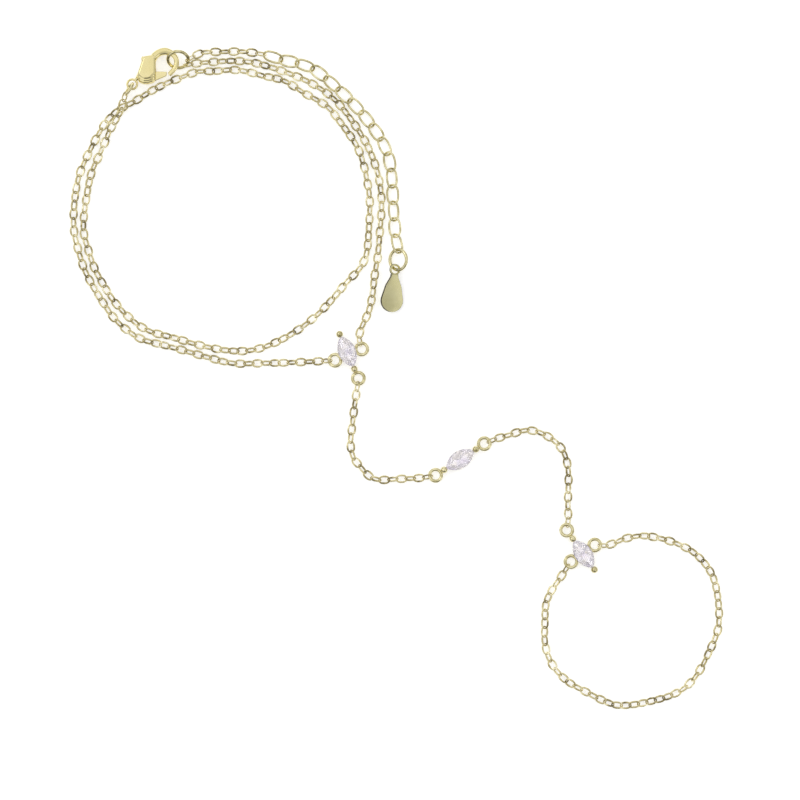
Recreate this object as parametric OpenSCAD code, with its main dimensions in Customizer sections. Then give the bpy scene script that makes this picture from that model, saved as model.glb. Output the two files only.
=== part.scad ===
// Hand chain bracelet laid out flat: a wrist chain in two rounds with a clasp and an extender,
// three marquise stones in pronged settings, two short hand chains and a finger loop of chain.
// Millimetres, +Z up, lying on Z = 0, seen from above as it was laid out.

/* [Small chain] */
// Diameter of the wire that the small links are bent from
link_wire = 0.24; // [0.2:0.01:0.26]
// Width of a small link over its wire
link_w = 1.6; // [1.5:0.05:1.7]
// Distance from one small link to the next
link_pitch = 1.55; // [1.4:0.05:1.8]
// Gap between two links that are hooked together
link_slack = 0.12; // [0.11:0.01:0.16]
// Lean of a small link, to one side and the other in turn
link_lean = 35; // [32:1:38]
// Slow twist of a small chain to either side
link_twist = 25; // [15:1:25]

/* [Extender chain] */
// Diameter of the wire that the large links are bent from
large_wire = 0.4; // [0.34:0.01:0.44]
// Width of a large link over its wire
large_w = 2.5; // [2.3:0.05:2.7]
// Distance from one large link to the next
large_pitch = 2.97; // [2.7:0.05:3.3]
// Lean of a large link, to one side and the other in turn
large_lean = 28; // [26:1:30]
// Slow twist of the extender to either side
large_twist = 10; // [5:1:12]

/* [Rings] */
// Outer diameter of the rings soldered to the settings
solder_ring_d = 2.6; // [2.4:0.05:2.9]
// Wire of the rings soldered to the settings
solder_ring_wire = 0.5; // [0.4:0.02:0.54]
// Outer diameter of the two open jump rings
jump_ring_d = 4.2; // [4:0.05:4.5]
// Wire of the two open jump rings
jump_ring_wire = 0.55; // [0.45:0.01:0.6]
// Tilt of the jump ring that hangs on the claw
claw_ring_tilt = 40; // [38:1:44]
// Tilt of the jump ring that carries the tag
end_ring_tilt = 36; // [34:1:44]
// Outer diameter of the small ring between clasp and wrist chain
tail_ring_d = 2.8; // [2.7:0.05:3]
// Wire of the small ring between clasp and wrist chain
tail_ring_wire = 0.4; // [0.36:0.01:0.42]
// Tilt of the small ring between clasp and wrist chain
tail_ring_tilt = 76; // [70:1:80]

/* [Stones and settings] */
// Length of a marquise stone from tip to tip
stone_l = 6; // [5.5:0.1:6.6]
// Width of a marquise stone
stone_w = 3.2; // [3:0.1:3.4]
// Height of the crown above the girdle
crown_h = 0.5; // [0.4:0.05:0.6]
// Thickness of the girdle
girdle_h = 0.15; // [0.1:0.01:0.2]
// Depth of the pavilion below the girdle
pavilion_h = 1; // [0.9:0.05:1.1]
// Room between a stone and its setting
seat_gap = 0.08; // [0.06:0.01:0.1]
// Thickness of the boat shaped rail under a stone
rail_wall = 0.27; // [0.22:0.01:0.3]
// Height of the rail
rail_h = 0.4; // [0.3:0.05:0.45]
// Diameter of a prong's post
post_d = 0.84; // [0.7:0.02:0.9]
// Diameter of the bead on top of a prong
bead_d = 1.25; // [1.1:0.05:1.3]
// How far a bead reaches over the tip of the stone
bead_grip = 0.22; // [0.16:0.02:0.26]
// Free length of the neck between a prong and its end ring
neck_l = 0.25; // [0.15:0.05:0.5]
// Depth to which a soldered ring runs into what it is soldered to
solder_run = 0.24; // [0.18:0.01:0.25]

/* [Clasp] */
// Scale length of the clasp, from its eyelet to the top of its claw
clasp_l = 9.5; // [9.3:0.1:10]
// Thickness of the clasp's body
clasp_t = 2.4; // [2.2:0.05:2.6]
// Chamfer round the faces of the body
clasp_chamfer = 0.3; // [0.15:0.05:0.35]
// Thickness of the lever
lever_t = 0.8; // [0.7:0.05:0.9]
// Room between the lever and the slot it turns in
lever_gap = 0.12; // [0.1:0.01:0.14]
// Diameter of the lever's pin
pin_d = 0.8; // [0.6:0.05:0.9]
// Running room of the lever on its pin
pin_gap = 0.05; // [0.04:0.01:0.06]
// Angle to which the lever swings open
lever_swing = 25; // [20:1:27]
// Mean diameter of the clasp's eyelet
eyelet_d = 1.76; // [1.7:0.01:1.8]
// Wire of the clasp's eyelet
eyelet_wire = 0.42; // [0.38:0.01:0.44]

/* [Tag] */
// Diameter of the wide end of the drop shaped tag
tag_d = 4.1; // [3.8:0.1:4.3]
// Distance from the tag's eye to the middle of its wide end
tag_reach = 5.6; // [5.2:0.1:6.2]
// Thickness of the tag
tag_t = 0.75; // [0.6:0.05:0.8]
// Width of the tag's neck
tag_neck_w = 1.5; // [1.4:0.05:1.6]
// Width of the tag where its sides swell, between the neck and the wide end
tag_swell_w = 3.1; // [2.8:0.1:3.3]
// Mean diameter of the tag's eye
tag_eye_d = 1.7; // [1.68:0.02:1.76]
// Wire of the tag's eye
tag_eye_wire = 0.38; // [0.32:0.02:0.4]
// Height of the tag's eye
tag_eye_h = 0.5; // [0.4:0.05:0.5]
// Lean of the tag to its left side
tag_lean = 20; // [15:1:21]
// Place of the tag's eye round its ring, from the ring's lowest side in the picture
tag_hang = -14; // [-16:1:-8]

/* [Hidden] */
$fn = 72;
GOLD = [0.86, 0.8, 0.5];
PALE_GOLD = [0.78, 0.75, 0.55];
CLEAR = [0.9, 0.88, 0.94];

// Half sizes of the links at the middle of their wire, and how high a chain lies
link_b = (link_w - link_wire) / 2;
large_b = (large_w - large_wire) / 2;
chain_h = 2 * link_b * sin(link_lean + link_twist) + link_wire;
chain_z = chain_h / 2;
large_z = large_b * sin(large_lean + large_twist) + large_wire / 2;

// Mean radii of the rings
solder_ring_r = (solder_ring_d - solder_ring_wire) / 2;
jump_ring_r = (jump_ring_d - jump_ring_wire) / 2;
tail_ring_r = (tail_ring_d - tail_ring_wire) / 2;

// A stone's outline is two arcs that meet at its tips
arc_r = (stone_l * stone_l + stone_w * stone_w) / (4 * stone_w);
arc_off = arc_r - stone_w / 2;
culet_z = 0.15;
girdle_z = culet_z + pavilion_h;
crown_z = girdle_z + girdle_h;
rail_in_r = arc_r - 0.05 - rail_wall;
rail_out_w = 2 * (arc_r - 0.05 - arc_off);
rail_top = culet_z + pavilion_h * (rail_in_r - arc_off - 1.7 * seat_gap) / (stone_w / 2);
bead_x = stone_l / 2 + bead_d / 2 - bead_grip;
bead_z = crown_z + bead_d / 4;
post_x = bead_x - 0.15;
end_ring_x = post_x + post_d / 2 + neck_l + solder_ring_r + solder_ring_wire / 2;
side_ring_y = rail_out_w / 2 + solder_ring_r + solder_ring_wire / 2 - solder_run;

// Places of the three settings: x, y and the turn of the long axis
SETTINGS = [[-8.9, 4.8, -67], [11.4, -14.6, 33], [33.6, -31.6, -55]];
// Side rings of the first and the third setting lie a little off the middle
side_shift_1 = 0.6;
side_shift_3 = -0.15;

// Place of the clasp's pin and turn of the clasp, then its outlines in hundredths of clasp_l
CLASP_AT = [-44.4, 54.6];
clasp_turn = 50;
clasp_z = clasp_t / 2;
BODY_CORNERS = [[17.8, 25], [-14.7, 12.7], [-19.2, 4.9], [-17.4, -0.8], [-12.7, -6.6], [-6, -11.4],
    [-2.1, -11.6], [22.1, 8.9], [29.2, 14.8]];
corner_r = 4.7;
GATE = [[8.4, -1], [25.2, -22.2], [18.6, -26.8], [-0.5, -17.2], [-6.3, -7.4]];
THUMB = [[-5.3, 7.9], [11.2, 29.9], [14, 32.4], [18.1, 32.6], [19, 29], [7.4, 5.6]];
hub_r = 9.5;
// Stations of the claw: x, y, half width, half thickness
CLAW = [[24.4, 12.6, 6.7, 9.6], [33.5, 14.4, 7.3, 9.4], [43.7, 12.1, 7.1, 8.4], [52.4, 5.6, 7.2, 7.1],
    [57, -4.3, 6.1, 6], [57.4, -13, 5.1, 5.2], [54.2, -20.6, 4.8, 4.9], [48.1, -26.3, 4.7, 4.7],
    [40, -29.1, 4.6, 4.5], [33, -29.3, 4.5, 4.3], [25.4, -28.9, 4.3, 4.1]];
EYELET = [-35.2, 13.2];
CLAW_RING = [56.2, -23.6];
// The tail ring hangs this way from the eyelet and reaches this far past the eyelet's centre
tail_dir = 238;
tail_hold = 0.15;

claw_ring_at = concat(clasp_point(CLAW_RING), [jump_ring_r * sin(claw_ring_tilt) + jump_ring_wire / 2]);
eyelet_at = clasp_point(EYELET);
tail_ring_at = concat(eyelet_at + (tail_ring_r - tail_hold) * [cos(tail_dir), sin(tail_dir)],
    [tail_ring_r * sin(tail_ring_tilt) + tail_ring_wire / 2]);
tail_hook = tail_ring_at + tail_ring_r * [cos(tail_dir), sin(tail_dir), 0];
end_ring_at = [0.3, 21.3, jump_ring_r * sin(end_ring_tilt) + jump_ring_wire / 2];
// The tag's eye lies against the left side of the wire that it hangs on
tag_slip = 0.22;
tag_eye_at = ring_point(end_ring_at, jump_ring_r, -90, end_ring_tilt, tag_hang) - [tag_slip, 0, 0];
tag_turn = -96;
tag_pitch = asin((tag_eye_at.z - tag_t / 2 - tag_d / 2 * sin(tag_lean)) / (tag_reach + 0.21 * tag_d));
// The tag's outline runs round these circles: distance from the eye and radius
tag_neck_x = tag_eye_d / 2 + tag_neck_w / 2;
TAG_ROUND = [[tag_reach, tag_d / 2], [tag_neck_x + 0.46 * (tag_reach - tag_neck_x), tag_swell_w / 2],
    [tag_neck_x, tag_neck_w / 2]];

// Where a chain hooks on: the wire of a tilted ring at an angle round it
return_hook_angle = -42;
return_hook = ring_point(claw_ring_at, jump_ring_r, 0, claw_ring_tilt, return_hook_angle);
lead_hook = ring_point(claw_ring_at, jump_ring_r, 0, claw_ring_tilt, 0);
tag_hook = end_ring_at + [0, jump_ring_r, 0];

// Room between the end of a strand drawn as a tube and the ring that it hooks on
tube_gap = 0.15;
// One strand climbs over another by this much at the crossing
crossing_rise = chain_h + tube_gap;

// Chosen points of the routes: x, y and, where it isn't nought, the share of the rise there
INNER = [[-49.1, 49.9, 0.82], [-49.2, 48.9, 1], [-49.6, 47.7, 0.98], [-50.4, 46.3, 0.85],
    [-51.3, 45, 0.55], [-52.2, 43, 0.15], [-53.5, 40], [-54.9, 36.9], [-55.7, 32.9], [-56.2, 29.4],
    [-56.3, 26.3], [-55.5, 23.3], [-54.3, 19.7], [-52.7, 16.8], [-51, 14.1], [-48.7, 11.5], [-46.3, 9.5],
    [-44, 8.3], [-40.4, 7.4], [-35.9, 6.1], [-31.2, 5.1], [-27.5, 4.9], [-24.2, 5.5], [-20.8, 6.9],
    [-17.3, 9], [-14.2, 11.5], [-11.4, 14.4], [-8.9, 17.4], [-6.8, 19.5], [-5.5, 21.9], [-5.1, 24.9],
    [-4.9, 28.3], [-4.8, 31.6], [-5.2, 35], [-6, 38.7], [-7, 41.5], [-8.6, 44], [-10.4, 46.4],
    [-12.2, 48.7], [-14.6, 50.2], [-17, 51.5], [-19, 52.9], [-21, 53.8], [-23.8, 54.3], [-26.7, 55.1],
    [-29.6, 55.5], [-32.7, 55.2], [-35.7, 55.2], [-38.2, 54.3], [-41, 53.2], [-43.5, 52]];
// Where the inner round ends and the outer one goes on
ROUND_END = [-46, 50.5];
OUTER = [[-47.6, 49.5], [-49.1, 48.8], [-50.5, 47.9], [-52.3, 46.1], [-53.6, 43.9], [-54.8, 41.7],
    [-56.1, 39],
    [-57.2, 36.2], [-57.8, 32.8], [-58.1, 29.4], [-58, 26.3], [-57.2, 22.9], [-56.2, 19.7], [-54.8, 16.9],
    [-53.1, 14.1], [-50.9, 10.9], [-48.3, 8.5], [-45.6, 6.9], [-42.4, 6.1], [-38.6, 5.1], [-34.1, 3.8],
    [-29.6, 2.7], [-24.9, 2.7], [-20.3, 2.8], [-15.6, 3]];
RETURN = [[-6.8, 7.2], [-6.3, 9.2], [-5.1, 11.7], [-4.4, 14.6], [-4, 18.2], [-3.4, 21.7], [-3.1, 25.3],
    [-2.8, 28.7],
    [-2.7, 32.1], [-3.1, 35.6], [-4, 38.9], [-5.3, 42], [-7.1, 45], [-8.9, 47.5], [-10.9, 49.9],
    [-13.5, 52], [-16.6, 53.7], [-19.8, 55], [-23.1, 56.1], [-26.4, 56.9], [-29.6, 57.1], [-32.9, 56.9],
    [-35.7, 56.7]];
LEAD = [[-35.6, 58.4, 0.4], [-33.9, 58.7, 0.05], [-31.4, 58.7], [-28.5, 58.8], [-26, 58.6]];
LEAD_END = [-23.6, 58.2];
EXTENDER = [[-21.2, 57.4], [-18.2, 56.8], [-15.3, 55.9], [-13, 54.2], [-10.8, 52.3], [-8.6, 50.2],
    [-6.4, 47.9], [-4.6, 45.6], [-3, 43.4], [-1.8, 41.1], [-1.1, 38.6], [-0.8, 35.7], [-0.7, 32.8],
    [-0.5, 29.8],
    [-0.3, 26.7, 0.15], [-0.1, 24.6, 0.6]];
HAND_1 = [[-7.3, -3.2], [-7.7, -6], [-8, -8.8], [-8.3, -11.6], [-7.8, -14.3], [-6.3, -16.1], [-4.9, -17.7],
    [-3, -18.3], [-0.1, -18.1], [3, -18], [5.3, -17.8]];
HAND_2 = [[18.1, -10.8], [20.6, -10.1], [23.2, -9.3], [26, -9.8], [28.7, -11.5], [30.2, -13.5], [30.9, -16.5],
    [30.9, -19.6], [30.8, -22.6], [30.9, -25.3]];
FINGER = [[37.9, -30.1], [40.8, -28.9], [44, -28.3], [47.1, -28.7], [50.1, -29.6], [53, -31], [55.3, -33.1],
    [56.9, -35.6], [57.7, -38.8], [58, -41.9], [57.9, -44.9], [56.9, -47.7], [55.5, -50.7], [53.9, -53.5],
    [51.7, -55.8], [48.9, -57.2], [45.6, -58.1], [42.6, -58.7], [39.5, -58.8], [36.6, -57.7], [33.7, -56.2],
    [31, -54.7], [28.6, -52.4], [27.2, -49.8], [26.6, -46.9], [26.7, -43.7], [26.8, -40.7], [27.8, -38.3],
    [29.5, -35.8]];

// Link wire has this many sides
wire_sides = 5;
// Shape of a link: half width of its end side and its shoulder's step back and half width, by half width
link_end = 0.36;
link_shoulder = [0.4, 0.86];
// A strand drawn as a tube has this many sides and a ring this many of its heights apart
tube_sides = 8;
tube_step = 3.1;
// Rings lie closer on the stretch that climbs over another strand, whose length is given
close_step = 1.1;
crossing_l = 10.5;

// A point of the clasp's own plan, in hundredths of its length, brought to its place
function clasp_point(p) =
    let (q = p * clasp_l / 100)
    [CLASP_AT.x + q.x * cos(clasp_turn) - q.y * sin(clasp_turn),
     CLASP_AT.y + q.x * sin(clasp_turn) + q.y * cos(clasp_turn)];

// A point on the middle of the wire of a tilted ring
function ring_point(at, r, turn, tilt, a) =
    at + r * [cos(a) * cos(turn) - sin(a) * cos(tilt) * sin(turn),
              cos(a) * sin(turn) + sin(a) * cos(tilt) * cos(turn),
              sin(a) * sin(tilt)];

// A point in the plan of a setting, brought to its place at the height of the small chain
function setting_point(i, p) =
    let (s = SETTINGS[i])
    [s.x + p.x * cos(s.z) - p.y * sin(s.z), s.y + p.x * sin(s.z) + p.y * cos(s.z), chain_z];

// Chosen points raised to the height of their chain
function raised(points, z, rise) =
    [for (p = points) [p.x, p.y, z + rise * (len(p) > 2 ? p.z : 0)]];

// A smooth curve through chosen points
function curve_at(a, b, c, d, t) =
    (2 * b + (c - a) * t + (2 * a - 5 * b + 4 * c - d) * t * t + (3 * b - a - 3 * c + d) * t * t * t) / 2;
function smooth(p, steps = 8) =
    let (n = len(p), q = concat([2 * p[0] - p[1]], p, [2 * p[n - 1] - p[n - 2]]))
    concat(
        [for (i = [0 : n - 2], j = [0 : steps - 1]) curve_at(q[i], q[i + 1], q[i + 2], q[i + 3], j / steps)],
        [p[n - 1]]);

// Running length along a path, and one table of it for each coordinate
function running(p) =
    [for (i = 0, s = 0; i < len(p); s = s + (i + 1 < len(p) ? norm(p[i + 1] - p[i]) : 0), i = i + 1) s];
function tables(p) =
    let (s = running(p))
    [for (k = [0 : 2]) [for (i = [0 : len(p) - 1]) [s[i], p[i][k]]]];
function length_of(t) = t[0][len(t[0]) - 1][0];
function spot(t, s) = [for (k = [0 : 2]) lookup(s, t[k])];
function unit(v) = v / norm(v);

// How far the first joint of a chain lies inside the middle line of the ring it hooks on
function hook_in(ring_wire) = ring_wire / 2 + 0.75 * link_slack;

// Joints of a chain: evenly spaced along its route, from start to stop
function joints(t, start, stop, pitch) =
    let (run = length_of(t) - start - stop, n = round(run / pitch))
    [for (i = [0 : n]) start < 0 && i == 0
        ? spot(t, 0) + start * unit(spot(t, pitch) - spot(t, 0))
        : (stop < 0 && i == n
            ? spot(t, length_of(t)) - stop * unit(spot(t, length_of(t)) - spot(t, length_of(t) - pitch))
            : spot(t, start + run * i / n))];

// Middle line of an oval link of ten sides, a short one across each end where the next link bears
function link_line(a, b) =
    let (q = [[a, -link_end * b], [a, link_end * b], [a - link_shoulder.x * b, link_shoulder.y * b], [0, b],
        [link_shoulder.x * b - a, link_shoulder.y * b]])
    concat(q, -q);

// Points of one link: its wire's sections, mitred at each bend, in its own frame, then placed
function link_points(from, to, b, wire, roll) =
    let (x = unit(to - from), side = unit(cross([0, 0, 1], x)), up = cross(x, side),
        e = side * cos(roll) + up * sin(roll), f = up * cos(roll) - side * sin(roll), mid = (from + to) / 2,
        line = link_line(norm(to - from) / 2 + (wire + link_slack) / 2, b), n = len(line))
    [for (i = [0 : n - 1])
        let (before = unit(line[i] - line[(i + n - 1) % n]), after = unit(line[(i + 1) % n] - line[i]),
            m = unit(before + after), out = [m.y, -m.x] / (m * after))
        for (k = [0 : wire_sides - 1])
            let (w = 360 * k / wire_sides, q = line[i] + out * cos(w) * wire / 2)
            mid + x * q.x + e * q.y + f * (sin(w) * wire / 2)];

// Triangles of one closed loop of wire, whose points start at a given place in the list
function loop_faces(first, n, sides) =
    [for (i = [0 : n - 1], k = [0 : sides - 1])
        let (a = first + i * sides + k, b = first + i * sides + (k + 1) % sides,
            c = first + ((i + 1) % n) * sides + (k + 1) % sides, d = first + ((i + 1) % n) * sides + k)
        each [[a, b, c], [a, c, d]]];

// Lean of link i of n: to one side and the other in turn, about a slow twist
function roll_of(i, n, first, lean, twist) =
    let (swings = (n - 1) % 2 + 2 * floor(n / 24))
    first * ((i % 2 == 0 ? lean : -lean) + twist * cos(180 * swings * i / max(n - 1, 1)));

// A chain of hooked links along a list of joints
module chain(j, b, wire, first, lean, twist) {
    n = len(j) - 1;
    points = [for (i = [0 : n - 1])
        each link_points(j[i], j[i + 1], b, wire, roll_of(i, n, first, lean, twist))];
    sides = len(link_line(b, b));
    faces = [for (i = [0 : n - 1]) each loop_faces(i * sides * wire_sides, sides, wire_sides)];
    polyhedron(points, faces);
}

// A strand as one tube along its route, from start to stop, with closer rings up to a given length
module tube(t, start, stop, d, close = 0) {
    run = length_of(t) - start - stop - close;
    close_n = ceil(close / (close_step * d));
    n = close_n + ceil(run / (tube_step * d));
    points = [for (i = [0 : n])
        let (s = start + (i < close_n ? close * i / close_n : close + run * (i - close_n) / (n - close_n)),
            x = unit(spot(t, s + 0.3) - spot(t, s - 0.3)), side = unit(cross([0, 0, 1], x)),
            up = cross(x, side))
        for (k = [0 : tube_sides - 1])
            let (w = 360 * (k + 0.5) / tube_sides)
            spot(t, s) + (side * cos(w) + up * sin(w)) * d / 2];
    walls = [for (i = [0 : n - 1], k = [0 : tube_sides - 1])
        let (a = i * tube_sides + k, b = i * tube_sides + (k + 1) % tube_sides)
        each [[a, a + tube_sides, b + tube_sides], [a, b + tube_sides, b]]];
    caps = [[for (k = [0 : tube_sides - 1]) k], [for (k = [tube_sides - 1 : -1 : 0]) n * tube_sides + k]];
    polyhedron(points, concat(walls, caps));
}

// A closed ring of round wire, turned and tilted in its place
module wire_ring(at, r, wire, turn = 0, tilt = 0) {
    translate(at)
        rotate([0, 0, turn])
            rotate([tilt, 0, 0])
                rotate_extrude()
                    translate([r, 0])
                        circle(d = wire);
}

// The boat shape between two arcs of radius r, as high as h
module boat(r, h) {
    linear_extrude(height = h)
        intersection() {
            translate([0, -arc_off]) circle(r = r);
            translate([0, arc_off]) circle(r = r);
        }
}

// A setting in its own plan: rail, two beaded prongs, and the rings soldered to its ends and sides
module setting(ends, sides, shift) {
    color(GOLD) {
        difference() {
            union() {
                translate([0, 0, rail_top - rail_h])
                    difference() {
                        boat(arc_r - 0.05, rail_h);
                        translate([0, 0, -1]) boat(rail_in_r, rail_h + 2);
                    }
                for (e = [-1, 1]) {
                    translate([e * post_x, 0, 0]) cylinder(h = bead_z, d = post_d);
                    translate([e * bead_x, 0, bead_z]) sphere(d = bead_d);
                }
            }
            translate([0, 0, girdle_z - 2 * seat_gap])
                boat(arc_r + seat_gap, girdle_h + 4 * seat_gap);
        }
        for (e = ends) {
            translate([e * (post_x + post_d / 4), 0, chain_z])
                rotate([0, 90 * e, 0])
                    cylinder(h = post_d / 4 + neck_l + solder_ring_wire / 2, d = solder_ring_wire * 0.9);
            wire_ring([e * end_ring_x, 0, chain_z], solder_ring_r, solder_ring_wire);
        }
        for (s = sides)
            wire_ring([shift, s * side_ring_y, chain_z], solder_ring_r, solder_ring_wire);
    }
}

// Sixteen points round a stone's outline, drawn in by a share and set at a height
function outline_point(k, share, z) =
    let (half = asin(stone_l / 2 / arc_r), j = k % 16, up = j <= 8,
        w = up ? half - half * j / 4 : half * (j - 8) / 4 - half)
    [share * arc_r * sin(w), (up ? 1 : -1) * share * (arc_r * cos(w) - arc_off), z];

// A marquise brilliant: table, stars, kites and girdle facets above, mains and girdle facets below
module stone() {
    table_share = 0.56;
    star_share = 0.79;
    main_share = 0.32;
    points = concat(
        [for (k = [0 : 7]) outline_point(2 * k, table_share, crown_z + crown_h)],
        [for (k = [0 : 7]) outline_point(2 * k + 1, star_share, crown_z + crown_h * 0.58)],
        [for (k = [0 : 15]) outline_point(k, 1, crown_z)],
        [for (k = [0 : 15]) outline_point(k, 1, girdle_z)],
        [for (k = [0 : 7]) outline_point(2 * k + 1, main_share, girdle_z - pavilion_h * 0.7)],
        [[0, 0, culet_z]]);
    faces = concat(
        [for (k = [1 : 6]) [0, k + 1, k]],
        [for (k = [0 : 7])
            let (n = (k + 1) % 8, star = 8 + k, next = 8 + n,
                g = 16 + 2 * k, g1 = g + 1, g2 = 16 + (2 * k + 2) % 16)
            each [[k, n, star], [star, n, g2], [n, next, g2], [star, g1, g], [star, g2, g1]]],
        [for (k = [0 : 15]) let (n = (k + 1) % 16) each [[16 + k, 16 + n, 32 + n], [16 + k, 32 + n, 32 + k]]],
        [for (k = [0 : 7])
            let (main = 48 + k, next = 48 + (k + 1) % 8,
                g = 32 + 2 * k, g1 = g + 1, g2 = 32 + (2 * k + 2) % 16)
            each [[main, g, g1], [main, g1, g2], [main, g2, 56], [next, 56, g2]]]);
    color(CLEAR) polyhedron(points, faces);
}

// Brings what is drawn in a setting's plan to its place
module at_setting(i) {
    translate([SETTINGS[i].x, SETTINGS[i].y, 0])
        rotate([0, 0, SETTINGS[i].z])
            children();
}

// Convex outline grown outward by g, for the room round the lever
function grown(p, g) =
    let (n = len(p))
    [for (i = [0 : n - 1])
        let (a = unit(p[i] - p[(i + n - 1) % n]), b = unit(p[(i + 1) % n] - p[i]),
            na = [-a.y, a.x], nb = [-b.y, b.x])
        p[i] + g * (na + nb) / (1 + na * nb)];

// The lever as a plate, grown by g: hub, gate and thumb piece
module lever_plate(g, h) {
    unit_l = clasp_l / 100;
    translate([0, 0, -h / 2]) {
        cylinder(h = h, r = hub_r * unit_l + g);
        linear_extrude(height = h) polygon(grown(GATE * unit_l, g));
        linear_extrude(height = h) polygon(grown(THUMB * unit_l, g));
    }
}

// Brings what is drawn in the clasp's plan to its place, with the pin at the origin
module at_clasp() {
    translate([CLASP_AT.x, CLASP_AT.y, clasp_z])
        rotate([0, 0, clasp_turn])
            children();
}

// The claw as one solid lofted through its stations
module claw() {
    unit_l = clasp_l / 100;
    s = smooth(CLAW, 2) * unit_l;
    sides = 12;
    n = len(s) - 1;
    points = [for (i = [0 : n])
        let (a = s[max(i - 1, 0)], b = s[min(i + 1, n)], x = unit([b.x - a.x, b.y - a.y]), out = [-x.y, x.x])
        for (k = [0 : sides - 1])
            let (w = 360 * k / sides)
            [s[i][0] + out.x * cos(w) * s[i][2], s[i][1] + out.y * cos(w) * s[i][2], sin(w) * s[i][3]]];
    walls = [for (i = [0 : n - 1], k = [0 : sides - 1])
        let (a = i * sides + k, b = i * sides + (k + 1) % sides)
        each [[a, a + sides, b + sides], [a, b + sides, b]]];
    caps = [[for (k = [0 : sides - 1]) k], [for (k = [sides - 1 : -1 : 0]) n * sides + k]];
    polyhedron(points, concat(walls, caps));
}

// Body, claw, eyelet and pin of the clasp, with the slot that the lever turns in
module clasp_body() {
    unit_l = clasp_l / 100;
    r = corner_r * unit_l;
    slot_t = lever_t + 2 * lever_gap;
    neck = BODY_CORNERS[1] - EYELET;
    neck_turn = atan2(neck.y, neck.x);
    color(GOLD)
        at_clasp() {
            difference() {
                union() {
                    hull()
                        for (p = BODY_CORNERS)
                            translate([p.x * unit_l, p.y * unit_l, 0]) {
                                cylinder(h = clasp_t - 2 * clasp_chamfer, r = r, center = true, $fn = 24);
                                cylinder(h = clasp_t, r = r - clasp_chamfer, center = true, $fn = 24);
                            }
                    claw();
                }
                for (a = [0 : lever_swing / 3 : lever_swing + 1])
                    rotate([0, 0, a])
                        lever_plate(lever_gap, slot_t);
            }
            cylinder(h = clasp_t - clasp_chamfer, d = pin_d, center = true);
            translate([EYELET.x * unit_l, EYELET.y * unit_l, 0]) {
                rotate_extrude()
                    translate([eyelet_d / 2, 0])
                        circle(d = eyelet_wire);
                rotate([0, 90, neck_turn])
                    translate([0, 0, eyelet_d / 2])
                        cylinder(h = norm(neck) * unit_l - eyelet_d / 2, d1 = eyelet_wire, d2 = clasp_t / 2);
            }
        }
}

// The lever, closed: its gate shuts the claw and its thumb piece stands out on the far side
module clasp_lever() {
    color(GOLD)
        at_clasp()
            difference() {
                lever_plate(0, lever_t);
                cylinder(h = lever_t + 1, d = pin_d + 2 * pin_gap, center = true);
            }
}

// Drop shaped tag with its eye, leaning on the ring that carries it
module tag() {
    color(PALE_GOLD)
        translate(tag_eye_at)
            rotate([0, 0, tag_turn])
                rotate([0, tag_pitch, 0])
                    rotate([-tag_lean, 0, 0]) {
                        rotate_extrude() translate([tag_eye_d / 2, 0])
                            scale([1, tag_eye_h / tag_eye_wire]) circle(d = tag_eye_wire);
                        hull()
                            for (c = TAG_ROUND)
                                translate([c.x, 0, -tag_t / 2]) cylinder(h = tag_t, r = c.y);
                        translate([tag_eye_d / 2, -0.45 * tag_neck_w, -tag_t / 2])
                            cube([tag_neck_w / 2, 0.9 * tag_neck_w, tag_t]);
                    }
}

module tail_ring() {
    color(GOLD) wire_ring(tail_ring_at, tail_ring_r, tail_ring_wire, tail_dir, tail_ring_tilt);
}

module claw_ring() {
    color(GOLD) wire_ring(claw_ring_at, jump_ring_r, jump_ring_wire, 0, claw_ring_tilt);
}

module end_ring() {
    color(GOLD) wire_ring(end_ring_at, jump_ring_r, jump_ring_wire, -90, end_ring_tilt);
}

// Wrist chain, first round: from the clasp's ring down, round and back up
module wrist_chain_inner() {
    route = concat([tail_hook], raised(INNER, chain_z, crossing_rise), raised([ROUND_END], chain_z, 0));
    t = tables(smooth(route));
    color(GOLD) tube(t, tail_ring_wire / 2 + chain_h / 4, tube_gap / 2, chain_h, crossing_l);
}

// Wrist chain, second round: under the crossing, down and along to the first stone
module wrist_chain_outer() {
    hook = setting_point(0, [side_shift_1, -side_ring_y]);
    t = tables(smooth(concat(raised(concat([ROUND_END], OUTER), chain_z, 0), [hook])));
    color(GOLD) tube(t, tube_gap / 2, solder_ring_d / 2 + tube_gap, chain_h);
}

// Wrist chain from the first stone back up to the ring on the claw
module wrist_chain_return() {
    hook = setting_point(0, [side_shift_1, side_ring_y]);
    t = tables(smooth(concat([hook], raised(RETURN, chain_z, 0), [return_hook])));
    color(GOLD) tube(t, solder_ring_d / 2 + tube_gap, jump_ring_wire / 2 + chain_h / 2, chain_h);
}

// Short run of small links from the ring on the claw to the extender
module extender_lead() {
    rise = lead_hook.z - chain_z;
    t = tables(smooth(concat([lead_hook], raised(LEAD, chain_z, rise), raised([LEAD_END], chain_z, 0))));
    color(GOLD)
        chain(joints(t, -hook_in(jump_ring_wire), 0, link_pitch), link_b, link_wire, -1, link_lean, link_twist);
}

// Large links of the extender, up to the ring that carries the tag
module extender_chain() {
    rise = tag_hook.z - large_z;
    t = tables(smooth(concat(raised([LEAD_END], large_z, 0), raised(EXTENDER, large_z, rise), [tag_hook])));
    color(GOLD)
        chain(joints(t, 0, -hook_in(jump_ring_wire), large_pitch), large_b, large_wire, 1, large_lean,
            large_twist);
}

// Small chain between two rings that lie flat
module ring_to_ring(from, points, to) {
    inside = solder_ring_r - hook_in(solder_ring_wire);
    t = tables(smooth(concat([from], raised(points, chain_z, 0), [to])));
    color(GOLD) chain(joints(t, inside, inside, link_pitch), link_b, link_wire, 1, link_lean, link_twist);
}

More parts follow.
